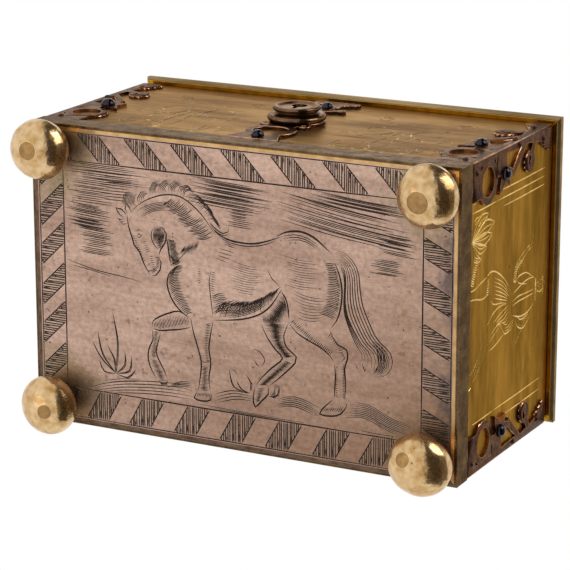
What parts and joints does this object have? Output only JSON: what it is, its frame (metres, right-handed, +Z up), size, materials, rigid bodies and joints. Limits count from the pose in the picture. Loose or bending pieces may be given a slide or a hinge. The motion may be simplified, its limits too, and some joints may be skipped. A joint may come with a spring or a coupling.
{
  "type": "miniature casket",
  "caption": "Small lidded metal casket on ball feet, with pierced corner straps, an escutcheon, a drop handle, hinges and a sliding bolt lock inside.",
  "frame": {"origin": "on the standing surface, under the middle of the box's walls", "axes": "+Z up; the front with the keyhole faces -Y; +X is the right-hand side seen from the front"},
  "size_m": [0.0738, 0.0528, 0.047],
  "materials": {
    "gilt_wall": "engraved gilt brass, worn",
    "gilt_lid": "gilt brass, worn",
    "gilt_foot": "pale gilt brass, polished and mottled",
    "engraved_base": "engraved, scratched bare metal",
    "blued_steel": "browned blued steel, coppery at the edges",
    "lock_steel": "filed bright steel"
  },
  "bodies": {
    "casket": {"base_plate": "engraved_base", "front_wall": "gilt_wall", "right_wall": "gilt_wall", "rear_wall": "gilt_wall", "left_wall": "gilt_wall", "front_skirt": "blued_steel", "right_skirt": "blued_steel", "rear_skirt": "blued_steel", "left_skirt": "blued_steel", "front_left_foot": "gilt_foot", "front_right_foot": "gilt_foot", "rear_right_foot": "gilt_foot", "rear_left_foot": "gilt_foot", "front_left_foot_pin": "lock_steel", "front_right_foot_pin": "lock_steel", "rear_right_foot_pin": "lock_steel", "rear_left_foot_pin": "lock_steel", "front_left_strap": "blued_steel", "front_right_strap": "blued_steel", "rear_right_strap": "blued_steel", "rear_left_strap": "blued_steel", "escutcheon": "blued_steel", "keyhole_collar": "blued_steel", "key_pin": "lock_steel", "lock_plate": "lock_steel", "bolt_spring": "lock_steel", "lock_cover": "gilt_lid", "left_hinge_body_leaf": "blued_steel", "left_hinge_pin": "lock_steel", "right_hinge_body_leaf": "blued_steel", "right_hinge_pin": "lock_steel"},
    "lid": {"lid_front_moulding": "gilt_lid", "lid_right_moulding": "gilt_lid", "lid_rear_moulding": "gilt_lid", "lid_left_moulding": "gilt_lid", "lid_panel": "gilt_lid", "lid_front_left_mount": "blued_steel", "lid_front_right_mount": "blued_steel", "lid_rear_right_mount": "blued_steel", "lid_rear_left_mount": "blued_steel", "left_hinge_lid_leaf": "blued_steel", "right_hinge_lid_leaf": "blued_steel", "left_handle_post": "blued_steel", "right_handle_post": "blued_steel", "left_catch": "lock_steel", "right_catch": "lock_steel"},
    "handle": {"handle_bail": "blued_steel"},
    "bolt": {"lock_bolt": "lock_steel"}
  },
  "joints": [
    {"name": "lid_hinge", "type": "hinge", "parent": "casket", "child": "lid", "pos_m": [0, 0.0256, 0.0424], "axis": [-1, 0, 0], "range_deg": [0, 105]},
    {"name": "handle_hinge", "type": "hinge", "parent": "lid", "child": "handle", "pos_m": [0, 0, 0.0457], "axis": [-1, 0, 0], "range_deg": [0, 180]},
    {"name": "bolt_slide", "type": "slide", "parent": "casket", "child": "bolt", "axis": [1, 0, 0], "range_m": [0, 0.0023]}
  ]
}
